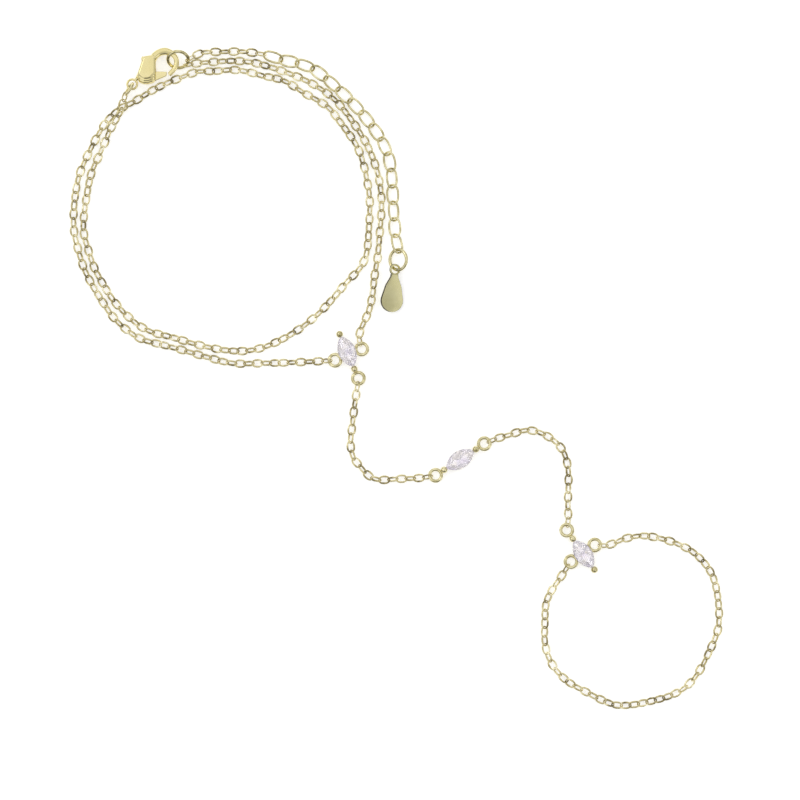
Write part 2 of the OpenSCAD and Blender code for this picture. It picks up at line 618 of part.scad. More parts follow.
module setting_1() { at_setting(0) setting([1], [-1, 1], side_shift_1); }
module setting_2() { at_setting(1) setting([-1, 1], [], 0); }
module setting_3() { at_setting(2) setting([-1], [-1, 1], side_shift_3); }
module stone_1() { at_setting(0) stone(); }
module stone_2() { at_setting(1) stone(); }
module stone_3() { at_setting(2) stone(); }

module hand_chain_1() {
    ring_to_ring(setting_point(0, [end_ring_x, 0]), HAND_1, setting_point(1, [-end_ring_x, 0]));
}
module hand_chain_2() {
    ring_to_ring(setting_point(1, [end_ring_x, 0]), HAND_2, setting_point(2, [-end_ring_x, 0]));
}
module finger_loop() {
    ring_to_ring(setting_point(2, [side_shift_3, side_ring_y]), FINGER,
        setting_point(2, [side_shift_3, -side_ring_y]));
}

clasp_body();
clasp_lever();
tail_ring();
claw_ring();
wrist_chain_inner();
wrist_chain_outer();
wrist_chain_return();
extender_lead();
extender_chain();
end_ring();
tag();
setting_1();
stone_1();
setting_2();
stone_2();
setting_3();
stone_3();
hand_chain_1();
hand_chain_2();
finger_loop();
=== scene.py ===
"""Hand chain bracelet laid out flat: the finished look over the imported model.

Shapes are worked out in millimetres and degrees, and become metres where a mesh becomes a piece.
"""

import bisect
import math

import bpy
import numpy as np
from mathutils import Matrix, Vector


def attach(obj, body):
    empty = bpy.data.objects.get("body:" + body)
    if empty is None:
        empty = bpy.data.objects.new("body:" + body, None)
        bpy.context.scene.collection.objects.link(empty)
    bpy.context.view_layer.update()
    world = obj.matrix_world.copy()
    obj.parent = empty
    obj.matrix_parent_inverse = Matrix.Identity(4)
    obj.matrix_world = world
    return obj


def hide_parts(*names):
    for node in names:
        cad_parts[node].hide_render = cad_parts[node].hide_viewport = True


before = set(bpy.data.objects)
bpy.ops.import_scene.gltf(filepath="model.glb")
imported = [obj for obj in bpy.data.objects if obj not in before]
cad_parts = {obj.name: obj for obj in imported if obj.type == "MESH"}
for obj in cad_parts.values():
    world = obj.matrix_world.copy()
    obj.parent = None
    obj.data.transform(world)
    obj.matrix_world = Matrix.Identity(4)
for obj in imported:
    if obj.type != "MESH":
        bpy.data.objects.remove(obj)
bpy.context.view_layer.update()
MM = 0.001


def cos_sin(degrees):
    return math.cos(math.radians(degrees)), math.sin(math.radians(degrees))


# Sizes of the chains as in the part's source.
LINK_WIRE, LINK_W, LINK_PITCH = 0.24, 1.6, 1.55
LINK_LEAN, LINK_TWIST = 35.0, 25.0
LARGE_WIRE, LARGE_W, LARGE_PITCH = 0.4, 2.5, 2.97
LARGE_LEAN, LARGE_TWIST = 28.0, 10.0
LINK_SLACK = 0.12
HOOK_SLACK = 0.75 * LINK_SLACK
TUBE_GAP = 0.15
LINK_B = (LINK_W - LINK_WIRE) / 2
LARGE_B = (LARGE_W - LARGE_WIRE) / 2
CHAIN_H = 2 * LINK_B * cos_sin(LINK_LEAN + LINK_TWIST)[1] + LINK_WIRE
CHAIN_Z = CHAIN_H / 2
LARGE_Z = LARGE_B * cos_sin(LARGE_LEAN + LARGE_TWIST)[1] + LARGE_WIRE / 2

# Rings: those soldered to the settings, the two jump rings, and the one at the clasp's eyelet.
SOLDER_R, SOLDER_WIRE = 1.05, 0.5
JUMP_R, JUMP_WIRE = 1.825, 0.55
TAIL_R, TAIL_WIRE, TAIL_TILT = 1.2, 0.4, 76.0
TAIL_DIR, TAIL_HOLD = 238.0, 0.15
CLAW_TILT = 40.0
CLAW_RETURN_DIR = -42
END_RING_AT = (0.3, 21.3)
END_TURN, END_TILT = -90, 36.0

# Settings: (x, y, turn) of each, and the places of their rings.
SETTINGS = [(-8.9, 4.8, -67.0), (11.4, -14.6, 33.0), (33.6, -31.6, -55.0)]
STONE_L, STONE_W = 6.0, 3.2
ARC_R = (STONE_L * STONE_L + STONE_W * STONE_W) / (4 * STONE_W)
POST_X, POST_D, NECK_L = 3.255, 0.84, 0.25
RAIL_INSET, SOLDER_RUN = 0.05, 0.24
END_RING_X = POST_X + POST_D / 2 + NECK_L + SOLDER_R + SOLDER_WIRE / 2
SIDE_RING_Y = (ARC_R - RAIL_INSET - (ARC_R - STONE_W / 2)) + SOLDER_R + SOLDER_WIRE / 2 - SOLDER_RUN
SIDE_SHIFT_1, SIDE_SHIFT_3 = 0.6, -0.15

# Tag: a drop from three circles, hung by its eye from the end ring.
TAG_D, TAG_REACH, TAG_T = 4.1, 5.6, 0.75
TAG_NECK_W, TAG_SWELL_W, TAG_SWELL_AT = 1.5, 3.1, 0.46
TAG_EYE_D, TAG_EYE_WIRE, TAG_EYE_H = 1.7, 0.38, 0.5
TAG_TURN, TAG_LEAN, TAG_HANG, TAG_SLIP = -96.0, 20.0, -14.0, 0.22
# how far past its round's centre it touches the surface, as a share of its width
TAG_TOUCH = 0.21
WEB_SHARE = 0.45

# Wire as drawn here, stouter than in the solids, whose thin wire keeps their gaps sure.
DRAWN_WIRE = 0.36
# the same for a chain's first and last small link, which hook on rings
DRAWN_END_WIRE = 0.28
# the share of a small link's wire that is left where two hook, and the least room between them
HOOK_SHARE, HOOK_GAP = 0.72, 0.035
DRAWN_SOLDER, DRAWN_JUMP, DRAWN_TAIL = 0.6, 0.6, 0.5

# Powers of the superellipses, where 2 is a plain oval: a link's outline and the claw's section.
LINK_POWER, CLAW_POWER = 2.35, 2.8

# Routes of the chains, (x, y) and in places a share of the rise.
INNER = [(-49.1, 49.9, 0.82), (-49.2, 48.9, 1), (-49.6, 47.7, 0.98), (-50.4, 46.3, 0.85),
         (-51.3, 45, 0.55), (-52.2, 43, 0.15), (-53.5, 40), (-54.9, 36.9), (-55.7, 32.9),
         (-56.2, 29.4), (-56.3, 26.3), (-55.5, 23.3), (-54.3, 19.7), (-52.7, 16.8), (-51, 14.1),
         (-48.7, 11.5), (-46.3, 9.5), (-44, 8.3), (-40.4, 7.4), (-35.9, 6.1), (-31.2, 5.1),
         (-27.5, 4.9), (-24.2, 5.5), (-20.8, 6.9), (-17.3, 9), (-14.2, 11.5), (-11.4, 14.4),
         (-8.9, 17.4), (-6.8, 19.5), (-5.5, 21.9), (-5.1, 24.9), (-4.9, 28.3), (-4.8, 31.6),
         (-5.2, 35), (-6, 38.7), (-7, 41.5), (-8.6, 44), (-10.4, 46.4), (-12.2, 48.7),
         (-14.6, 50.2), (-17, 51.5), (-19, 52.9), (-21, 53.8), (-23.8, 54.3), (-26.7, 55.1),
         (-29.6, 55.5), (-32.7, 55.2), (-35.7, 55.2), (-38.2, 54.3), (-41, 53.2), (-43.5, 52)]
ROUND_END = (-46, 50.5)
OUTER = [(-47.6, 49.5), (-49.1, 48.8), (-50.5, 47.9), (-52.3, 46.1), (-53.6, 43.9),
         (-54.8, 41.7), (-56.1, 39), (-57.2, 36.2), (-57.8, 32.8), (-58.1, 29.4), (-58, 26.3),
         (-57.2, 22.9), (-56.2, 19.7), (-54.8, 16.9), (-53.1, 14.1), (-50.9, 10.9), (-48.3, 8.5),
         (-45.6, 6.9), (-42.4, 6.1), (-38.6, 5.1), (-34.1, 3.8), (-29.6, 2.7), (-24.9, 2.7),
         (-20.3, 2.8), (-15.6, 3)]
RETURN = [(-6.8, 7.2), (-6.3, 9.2), (-5.1, 11.7), (-4.4, 14.6), (-4, 18.2), (-3.4, 21.7),
          (-3.1, 25.3), (-2.8, 28.7), (-2.7, 32.1), (-3.1, 35.6), (-4, 38.9), (-5.3, 42),
          (-7.1, 45), (-8.9, 47.5), (-10.9, 49.9), (-13.5, 52), (-16.6, 53.7), (-19.8, 55),
          (-23.1, 56.1), (-26.4, 56.9), (-29.6, 57.1), (-32.9, 56.9), (-35.7, 56.7)]
LEAD = [(-35.6, 58.4, 0.4), (-33.9, 58.7, 0.05), (-31.4, 58.7), (-28.5, 58.8), (-26, 58.6)]
LEAD_END = (-23.6, 58.2)
EXTENDER = [(-21.2, 57.4), (-18.2, 56.8), (-15.3, 55.9), (-13, 54.2), (-10.8, 52.3),
            (-8.6, 50.2), (-6.4, 47.9), (-4.6, 45.6), (-3, 43.4), (-1.8, 41.1), (-1.1, 38.6),
            (-0.8, 35.7), (-0.7, 32.8), (-0.5, 29.8), (-0.3, 26.7, 0.15), (-0.1, 24.6, 0.6)]
HAND_1 = [(-7.3, -3.2), (-7.7, -6), (-8, -8.8), (-8.3, -11.6), (-7.8, -14.3), (-6.3, -16.1),
          (-4.9, -17.7), (-3, -18.3), (-0.1, -18.1), (3, -18), (5.3, -17.8)]
HAND_2 = [(18.1, -10.8), (20.6, -10.1), (23.2, -9.3), (26, -9.8), (28.7, -11.5), (30.2, -13.5),
          (30.9, -16.5), (30.9, -19.6), (30.8, -22.6), (30.9, -25.3)]
FINGER = [(37.9, -30.1), (40.8, -28.9), (44, -28.3), (47.1, -28.7), (50.1, -29.6), (53, -31),
          (55.3, -33.1), (56.9, -35.6), (57.7, -38.8), (58, -41.9), (57.9, -44.9), (56.9, -47.7),
          (55.5, -50.7), (53.9, -53.5), (51.7, -55.8), (48.9, -57.2), (45.6, -58.1),
          (42.6, -58.7), (39.5, -58.8), (36.6, -57.7), (33.7, -56.2), (31, -54.7), (28.6, -52.4),
          (27.2, -49.8), (26.6, -46.9), (26.7, -43.7), (26.8, -40.7), (27.8, -38.3),
          (29.5, -35.8)]

# Clasp in its own units, as read from the photograph: (x, y), and for the claw half width and
# half height as well.
CLASP_AT, CLASP_TURN, CLASP_T, UNIT = (-44.4, 54.6), 50.0, 2.4, 0.095
BODY_CORNERS = [(17.8, 25), (-14.7, 12.7), (-19.2, 4.9), (-17.4, -0.8), (-12.7, -6.6),
                (-6, -11.4), (-2.1, -11.6), (22.1, 8.9), (29.2, 14.8)]
GATE = [(8.4, -1), (25.2, -22.2), (18.6, -26.8), (-0.5, -17.2), (-6.3, -7.4)]
THUMB = [(-5.3, 7.9), (11.2, 29.9), (14, 32.4), (18.1, 32.6), (19, 29), (7.4, 5.6)]
CLAW = [(14, 7.6, 7, 11.6), (24.4, 12.6, 6.9, 11), (33.5, 14.4, 7.3, 10), (43.7, 12.1, 7.1, 8.6),
        (52.4, 5.6, 7.2, 7.2), (57, -4.3, 6.1, 6), (57.4, -13, 5.1, 5.2),
        (54.2, -20.6, 4.8, 4.9), (48.1, -26.3, 4.7, 4.7), (40, -29.1, 4.6, 4.5),
        (33, -29.3, 4.6, 4.4), (26, -28.9, 4.5, 4.2), (22.8, -28.2, 4.3, 4)]
CORNER_R, HUB_R = 4.7, 9.5
EYELET, EYELET_D, EYELET_WIRE = (-35.2, 13.2), 1.76, 0.42
CLAW_RING = (56.2, -23.6)
LEVER_T, LEVER_SWING, LEVER_SOFT = 0.8, 25.0, 0.1
SLOT_ROOM, SLOT_TURNS = 0.07, 3
PIN_D, PIN_GAP, PIN_INSET = 0.8, 0.05, 0.2
# where the claw grows out of the body, the corner between them is melted
MELT_AT, MELT_REACH, MELT_STEPS = CLAW[2][:2], 1.5, 30


# Materials.
def new_material(name):
    material = bpy.data.materials.new(name)
    material.use_nodes = True
    return material, material.node_tree, material.node_tree.nodes["Principled BSDF"]


def noise(tree, coord, scale, detail):
    node = tree.nodes.new("ShaderNodeTexNoise")
    node.inputs["Scale"].default_value = scale
    node.inputs["Detail"].default_value = detail
    tree.links.new(coord.outputs["Object"], node.inputs["Vector"])
    return node.outputs["Fac"]


def ramp(tree, fac, stops):
    """A colour ramp over fac with stops (position, colour), the first two on its own elements."""
    node = tree.nodes.new("ShaderNodeValToRGB")
    tree.links.new(fac, node.inputs["Fac"])
    elements = node.color_ramp.elements
    for i, (position, tone) in enumerate(stops):
        if i > 1:
            elements.new(position).color = (*tone, 1)
        else:
            elements[i].position = position
            elements[i].color = (*tone, 1)
    return node.outputs["Color"]


def gold(name, deep, pale, rough, fine, peel, drift=420, ends=()):
    """Plated metal: a drift of tone, fine uneven polish, and a faint orange peel.

    The tone drifts from deep to pale. With ends, it changes more steeply and goes on to a
    darkest and a brightest tone, which are painted dark reflections and painted glints
    scattered at random."""
    material, tree, shader = new_material(name)
    link = tree.links.new
    coord = tree.nodes.new("ShaderNodeTexCoord")
    stops = [(0.3, deep), (0.7, pale)]
    # ends: painted dark reflections and painted glints, scattered at random
    if ends:
        stops = [(0.43, deep), (0.58, pale), (0.36, ends[0]), (0.66, ends[1])]
    link(ramp(tree, noise(tree, coord, drift, 3), stops), shader.inputs["Base Color"])
    polish = noise(tree, coord, fine, 5)
    spread = tree.nodes.new("ShaderNodeMapRange")
    spread.inputs["To Min"].default_value = rough * 0.7
    spread.inputs["To Max"].default_value = rough * 1.5
    link(polish, spread.inputs["Value"])
    link(spread.outputs["Result"], shader.inputs["Roughness"])
    bump = tree.nodes.new("ShaderNodeBump")
    bump.inputs["Strength"].default_value = peel
    bump.inputs["Distance"].default_value = 0.02 * MM
    link(polish, bump.inputs["Height"])
    link(bump.outputs["Normal"], shader.inputs["Normal"])
    shader.inputs["Metallic"].default_value = 1.0
    return material


def cut_stone_painted_glow(name):
    """Clear stone with a faint violet and warm cloud, and a painted glow: a faint emission that brightens
    it from within.
    """
    material, tree, shader = new_material(name)
    coord = tree.nodes.new("ShaderNodeTexCoord")
    stops = [(0.35, (0.9, 0.81, 1.0)), (0.68, (1.0, 0.94, 0.87)), (0.5, (0.94, 0.92, 0.98))]
    tree.links.new(ramp(tree, noise(tree, coord, 700, 2), stops), shader.inputs["Base Color"])
    shader.inputs["Transmission Weight"].default_value = 0.85
    shader.inputs["Roughness"].default_value = 0.06
    shader.inputs["IOR"].default_value = 2.1
    # painted glow: a faint emission that brightens the stone as light would
    shader.inputs["Emission Color"].default_value = (0.98, 0.94, 1.0, 1)
    shader.inputs["Emission Strength"].default_value = 0.065
    return material


# painted glints and dark reflections: the chain's darkest and brightest tones, scattered at random over the
# links
CHAIN_GOLD_PAINTED_GLINTS = gold("chain_gold_painted_glints", (0.52, 0.445, 0.215), (0.77, 0.69, 0.4), rough=0.14, fine=2600, peel=0.25,
                  drift=600, ends=((0.26, 0.215, 0.095), (0.95, 0.89, 0.64)))
POLISHED = gold("polished_gold", (0.8, 0.7, 0.34), (0.87, 0.77, 0.43), rough=0.1, fine=1500, peel=0.15)
# a random mottled tone whose wide spread is also painted highlights and painted shade on the rings,
# settings and large links
RING_GOLD_MOTTLE_AND_SHEEN = gold("ring_gold_mottle_and_sheen", (0.48, 0.42, 0.2), (0.9, 0.83, 0.53), rough=0.1, fine=1500, peel=0.5,
                 drift=1100)
TAG_GOLD = gold("tag_gold", (0.645, 0.6, 0.325), (0.705, 0.66, 0.385), rough=0.16, fine=1800, peel=0.1)
# painted shade: a near-black metal for the tag's wall, standing in for a dark reflection
TAG_EDGE_PAINTED_SHADE = gold("tag_edge_painted_shade", (0.03, 0.025, 0.012), (0.055, 0.046, 0.022), rough=0.35, fine=1800, peel=0.1)
STONE = cut_stone_painted_glow("cut_stone_painted_glow")

# The two kinds of link: half width, wire in the solids, wire as drawn, the same for a chain's
# first and last link, points round the link, points round the wire, and metal.
SMALL = (LINK_B, LINK_WIRE, DRAWN_WIRE, DRAWN_END_WIRE, 24, 8, CHAIN_GOLD_PAINTED_GLINTS)
LARGE = (LARGE_B, LARGE_WIRE, LARGE_WIRE, LARGE_WIRE, 32, 12, RING_GOLD_MOTTLE_AND_SHEEN)


# Objects and pieces. A part is a pair (verts, faces) in millimetres.
def placed(name, data):
    """A new object in the scene."""
    obj = bpy.data.objects.new(name, data)
    bpy.context.scene.collection.objects.link(obj)
    return obj


def dress(name, mesh, material, replaced, smooth, body="bracelet"):
    """The mesh as a piece of the model, shaded smooth where faces meet at less than smooth degrees."""
    for face in mesh.polygons:
        face.use_smooth = True
    mesh.set_sharp_from_angle(angle=math.radians(smooth))
    mesh.materials.clear()
    mesh.materials.append(material)
    obj = placed(name, mesh)
    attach(obj, body)
    if replaced:
        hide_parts(*replaced)
    return obj


def piece(name, part, material, replaced, smooth):
    verts, faces = part
    mesh = bpy.data.meshes.new(name)
    mesh.from_pydata([tuple(c * MM for c in v) for v in verts], [], faces)
    mesh.validate()
    return dress(name, mesh, material, replaced, smooth)


def shape(part):
    """A part as an object in millimetres, for modifiers."""
    verts, faces = part
    mesh = bpy.data.meshes.new("work")
    mesh.from_pydata([tuple(v) for v in verts], [], faces)
    return placed("work", mesh)


def discard(obj):
    mesh = obj.data
    bpy.data.objects.remove(obj)
    bpy.data.meshes.remove(mesh)


def applied(obj):
    """The object's mesh with its modifiers, and the object gone."""
    bpy.context.view_layer.update()
    depsgraph = bpy.context.evaluated_depsgraph_get()
    mesh = bpy.data.meshes.new_from_object(obj.evaluated_get(depsgraph))
    discard(obj)
    return mesh


def joined(parts):
    """Several parts as one."""
    verts, faces = [], []
    for v, f in parts:
        n = len(verts)
        verts += v
        faces += [tuple(i + n for i in face) for face in f]
    return verts, faces


def moved(part, matrix):
    verts, faces = part
    return [matrix @ Vector(v) for v in verts], faces


# Paths.
def spline(points, steps=8):
    """Points on a smooth curve through the given ones, of any dimension."""
    p = [Vector(q) for q in points]
    q = [2 * p[0] - p[1]] + p + [2 * p[-1] - p[-2]]
    out = []
    for a, b, c, d in zip(q, q[1:], q[2:], q[3:]):
        for j in range(steps):
            t = j / steps
            out.append((2 * b + (c - a) * t + (2 * a - 5 * b + 4 * c - d) * t * t
                        + (3 * b - a - 3 * c + d) * t ** 3) / 2)
    return out + [p[-1]]


class Path:
    def __init__(self, points):
        self.p = spline(points)
        self.s = [0.0]
        for a, b in zip(self.p, self.p[1:]):
            self.s.append(self.s[-1] + (b - a).length)
        self.length = self.s[-1]

    def at(self, s):
        """The point at length s along the path, which runs straight on past its ends."""
        start, end = self.p[0], self.p[-1]
        if s < 0:
            return start + s * (self.at(1.0) - start).normalized()
        if s == 0:
            return start.copy()
        if s == self.length:
            return end.copy()
        if s > self.length:
            return end + (s - self.length) * (end - self.at(self.length - 1.0)).normalized()
        hi = bisect.bisect_right(self.s, s)
        lo = hi - 1
        t = (s - self.s[lo]) / (self.s[hi] - self.s[lo])
        return self.p[lo].lerp(self.p[hi], t)


def raised(points, z, rise=0.0):
    """Points of a route at height z, plus their own share of the rise."""
    return [(p[0], p[1], z + rise * (p[2] if len(p) > 2 else 0.0)) for p in points]


def hook_in(wire):
    """How far inside a ring's middle line the joint of a link that hooks on it lies."""
    return wire / 2 + HOOK_SLACK


def joints(path, start, stop, pitch, odd=False):
    """Evenly spaced joints of a chain along the path, for an odd number of links if asked."""
    run = path.length - start - stop
    n = int(math.floor(run / pitch + 0.5))
    if odd and n % 2 == 0:
        n += 1 if run / pitch > n else -1
    return [path.at(start + run * i / n) for i in range(n + 1)]


# Links.
def bulged(c, power):
    """A sine or cosine bent for a superellipse."""
    return math.copysign(abs(c) ** (2 / power), c)


def tube_faces(n, k):
    """Faces of a tube closed in a ring, of n sections with k points."""
    return [(i * k + m, ((i + 1) % n) * k + m, ((i + 1) % n) * k + (m + 1) % k, i * k + (m + 1) % k)
            for i in range(n) for m in range(k)]


def link_loop(a, b, n):
    """Oval middle line of a link in its own plane."""
    angles = [2 * math.pi * i / n for i in range(n)]
    return [(bulged(math.cos(w), LINK_POWER) * a, bulged(math.sin(w), LINK_POWER) * b) for w in angles]


def link_part(j0, j1, roll, b, wire, drawn, n, k):
    """The link from joint j0 to joint j1, turned about its length by roll and lifted off the floor."""
    x = (j1 - j0).normalized()
    side = Vector((0, 0, 1)).cross(x).normalized()
    up = x.cross(side)
    c, s = cos_sin(roll)
    e = side * c + up * s
    f = up * c - side * s
    r = drawn / 2
    hook_r = r if drawn == wire else HOOK_SHARE * r
    mid = (j0 + j1) / 2
    half = (j1 - j0).length / 2 + max(wire + LINK_SLACK, 2 * hook_r + HOOK_GAP) / 2
    line = link_loop(half, b + wire / 2 - r, n)
    verts = []
    for i in range(n):
        before, here, after = line[i - 1], line[i], line[(i + 1) % n]
        t = Vector((after[0] - before[0], after[1] - before[1])).normalized()
        thick = r + (hook_r - r) * (here[0] / half) ** 2
        for m in range(k):
            w = 2 * math.pi * m / k
            u = here[0] + t.y * math.cos(w) * thick
            v = here[1] - t.x * math.cos(w) * thick
            verts.append(mid + x * u + e * v + f * (math.sin(w) * thick))
    lift = Vector((0, 0, max(0.0, -min(v.z for v in verts))))
    return [v + lift for v in verts], [tuple(reversed(face)) for face in tube_faces(n, k)]


def jitter(i, seed):
    """A fixed irregular number from -1 to 1 for each link."""
    return math.sin(i * 12.9898 + seed * 78.233) * 0.5 + math.sin(i * 4.137 + seed * 3.7) * 0.5


def rolls_same(n, first, lean, twist):
    """The lean of each link as the part's source has it."""
    swings = (n - 1) % 2 + 2 * (n // 24)
    means = [twist * math.cos(math.pi * swings * i / max(n - 1, 1)) for i in range(n)]
    return [first * ((lean if i % 2 == 0 else -lean) + mean) for i, mean in enumerate(means)]


def rolls_loose(n, first, seed):
    """Small links leaning to either side in turn about a mean that wanders in a long chain."""
    most, uneven, settled = 60.0, 5, 5
    wander, waves, hold = 0.35, 3, 1.7
    swings = (n - 1) % 2 + (2 * (n // 16) if n > 24 else 0)
    out = []
    for i in range(n):
        t = i / (n - 1)
        ends = min(i, n - 1 - i, settled) / settled
        warp = t + wander / max(swings, 1) * math.sin(2 * math.pi * t * waves + seed) * ends
        mean = max(-1.0, min(1.0, hold * math.cos(math.pi * swings * warp)))
        lean = LINK_LEAN if i % 2 == 0 else -LINK_LEAN
        roll = first * (lean + LINK_TWIST * mean) + uneven * jitter(i, seed) * ends
        out.append(max(-most, min(most, roll)))
    return out


def chain(name, js, rolls, replaced, kind=SMALL):
    """A piece of links, one between each two joints."""
    b, wire, drawn, drawn_end, n, k, metal = kind
    last = len(js) - 2
    parts = [link_part(js[i], js[i + 1], rolls[i], b, wire, drawn_end if i in (0, last) else drawn, n, k)
             for i in range(last + 1)]
    return piece(name, joined(parts), metal, replaced, smooth=70)


# Places that the chains and rings share.
def turned(x, y, a):
    c, s = cos_sin(a)
    return x * c - y * s, x * s + y * c


def setting_point(i, x, y):
    at_x, at_y, turn = SETTINGS[i]
    u, v = turned(x, y, turn)
    return (at_x + u, at_y + v, CHAIN_Z)


def clasp_point(p):
    u, v = turned(p[0] * UNIT, p[1] * UNIT, CLASP_TURN)
    return (CLASP_AT[0] + u, CLASP_AT[1] + v)


def ring_point(at, r, turn, tilt, a):
    """The point at angle a on a ring's middle line."""
    c, s = cos_sin(a)
    ct, st = cos_sin(turn)
    k, z = cos_sin(tilt)
    return Vector(at) + r * Vector((c * ct - s * k * st, c * st + s * k * ct, s * z))


def lying(at, r, wire, tilt):
    """The centre of a tilted ring that rests on the floor."""
    return Vector((*at, r * cos_sin(tilt)[1] + wire / 2))


claw_ring_at = lying(clasp_point(CLAW_RING), JUMP_R, JUMP_WIRE, CLAW_TILT)
tail_u = Vector((*cos_sin(TAIL_DIR), 0))
tail_at = lying(clasp_point(EYELET), TAIL_R, TAIL_WIRE, TAIL_TILT) + (TAIL_R - TAIL_HOLD) * tail_u
tail_hook = tail_at + TAIL_R * tail_u
end_at = lying(END_RING_AT, JUMP_R, JUMP_WIRE, END_TILT)
lead_hook = ring_point(claw_ring_at, JUMP_R, 0, CLAW_TILT, 0)
return_hook = ring_point(claw_ring_at, JUMP_R, 0, CLAW_TILT, CLAW_RETURN_DIR)
inside = SOLDER_R - hook_in(SOLDER_WIRE)

# The wrist chain's two rounds, from the clasp's ring to the first stone.
path = Path([tuple(tail_hook)] + raised(INNER, CHAIN_Z, CHAIN_H + TUBE_GAP)
            + raised([ROUND_END] + OUTER, CHAIN_Z) + [setting_point(0, SIDE_SHIFT_1, -SIDE_RING_Y)])
js = joints(path, -hook_in(TAIL_WIRE), inside, LINK_PITCH, odd=True)
chain("wrist_chain_two_rounds", js, rolls_loose(len(js) - 1, -1, 1),
      ("wrist_chain_inner", "wrist_chain_outer"))

# The wrist chain from the first stone back to the ring on the claw.
path = Path([setting_point(0, SIDE_SHIFT_1, SIDE_RING_Y)] + raised(RETURN, CHAIN_Z) + [tuple(return_hook)])
js = joints(path, inside, -hook_in(JUMP_WIRE), LINK_PITCH, odd=True)
chain("wrist_chain_back", js, rolls_loose(len(js) - 1, 1, 2), ("wrist_chain_return",))

# The extender's lead and its large links, which lean as in the solids.
path = Path([tuple(lead_hook)] + raised(LEAD, CHAIN_Z, lead_hook.z - CHAIN_Z)
            + raised([LEAD_END], CHAIN_Z))
js = joints(path, -hook_in(JUMP_WIRE), 0, LINK_PITCH)
chain("extender_lead_links", js, rolls_same(len(js) - 1, -1, LINK_LEAN, LINK_TWIST), ("extender_lead",))

path = Path(raised([LEAD_END], LARGE_Z) + raised(EXTENDER, LARGE_Z, end_at.z - LARGE_Z)
            + [tuple(end_at + Vector((0, JUMP_R, 0)))])
js = joints(path, 0, -hook_in(JUMP_WIRE), LARGE_PITCH)
chain("extender_links", js, rolls_same(len(js) - 1, 1, LARGE_LEAN, LARGE_TWIST), ("extender_chain",), LARGE)

# The hand chains and the finger loop, with as many links as in the solids.
for seed, name, start, points, end in (
        (3, "hand_chain_1", (0, END_RING_X, 0), HAND_1, (1, -END_RING_X, 0)),
        (4, "hand_chain_2", (1, END_RING_X, 0), HAND_2, (2, -END_RING_X, 0)),
        (11, "finger_loop", (2, SIDE_SHIFT_3, SIDE_RING_Y), FINGER, (2, SIDE_SHIFT_3, -SIDE_RING_Y))):
    path = Path([setting_point(*start)] + raised(points, CHAIN_Z) + [setting_point(*end)])
    js = joints(path, inside, inside, LINK_PITCH)
    chain(name + "_links", js, rolls_loose(len(js) - 1, 1, seed), (name,))


# Rounded plates and tubes for the clasp and the tag.
def plate(circles, h, round_r, n=96, steps=5):
    """A plate whose outline is drawn round circles (x, y, r), h thick about z = 0, with rounded edges."""
    angles = [math.pi / 2 * i / steps for i in range(steps + 1)]
    upper = [(round_r * (1 - math.cos(w)), h / 2 - round_r + round_r * math.sin(w)) for w in angles]
    layers = [(t, -z) for t, z in reversed(upper)] + upper
    verts, faces = [], []
    for t, z in layers:
        for i in range(n):
            w = 2 * math.pi * (i + 0.5) / n
            d = (math.cos(w), math.sin(w))
            x, y, r = max(circles, key=lambda q: q[0] * d[0] + q[1] * d[1] + q[2])
            verts.append((x + (r - t) * d[0], y + (r - t) * d[1], z))
    for j in range(len(layers) - 1):
        for i in range(n):
            m = (i + 1) % n
            faces.append((j * n + i, j * n + m, (j + 1) * n + m, (j + 1) * n + i))
    faces.append(tuple(range(n - 1, -1, -1)))
    faces.append(tuple((len(layers) - 1) * n + i for i in range(n)))
    return verts, faces


def torus(r, wire, high=None, n=64, k=16):
    """A ring of round wire, or of oval wire that is high upward."""
    verts = []
    for i in range(n):
        a = 2 * math.pi * i / n
        for m in range(k):
            w = 2 * math.pi * m / k
            q = r + wire / 2 * math.cos(w)
            verts.append((q * math.cos(a), q * math.sin(a), (high or wire) / 2 * math.sin(w)))
    return verts, tube_faces(n, k)


def loft(stations, k=32, steps=6):
    """A tube through stations (x, y, half width, half height) at z = 0, its far end rounded."""
    cap_angles, cap_depth = (0.35, 0.7, 1.0, 1.25, 1.45), 0.7
    line = spline(stations, steps)
    rows = []
    for i, station in enumerate(line):
        a, b = line[max(i - 1, 0)], line[min(i + 1, len(line) - 1)]
        d = Vector((b[0] - a[0], b[1] - a[1])).normalized()
        rows.append((station, d, 1.0, 0.0))
    station, d, _, _ = rows.pop()
    for w in cap_angles:
        rows.append((station, d, math.cos(w), (math.sin(w) - 1) * station[2] * cap_depth))
    verts = []
    for (x, y, half_w, half_h), d, share, ahead in rows:
        for m in range(k):
            w = 2 * math.pi * m / k
            across = bulged(math.cos(w), CLAW_POWER) * half_w * share
            up = bulged(math.sin(w), CLAW_POWER) * half_h * share
            verts.append((x + d.x * ahead - d.y * across, y + d.y * ahead + d.x * across, up))
    faces = []
    for j in range(len(rows) - 1):
        for m in range(k):
            faces.append((j * k + m, j * k + (m + 1) % k, (j + 1) * k + (m + 1) % k, (j + 1) * k + m))
    faces.append(tuple(range(k)))
    faces.append(tuple((len(rows) - 1) * k + m for m in range(k - 1, -1, -1)))
    return verts, [tuple(reversed(face)) for face in faces]


def cylinder(r0, r1, h, n=32):
    """A round bar from z = 0 to z = h, r0 in radius at its foot and r1 at its top."""
    angles = [2 * math.pi * i / n for i in range(n)]
    verts = [(r * math.cos(w), r * math.sin(w), z) for r, z in ((r0, 0), (r1, h)) for w in angles]
    faces = [(i, (i + 1) % n, n + (i + 1) % n, n + i) for i in range(n)]
    return verts, faces + [tuple(range(n - 1, -1, -1)), tuple(range(n, 2 * n))]


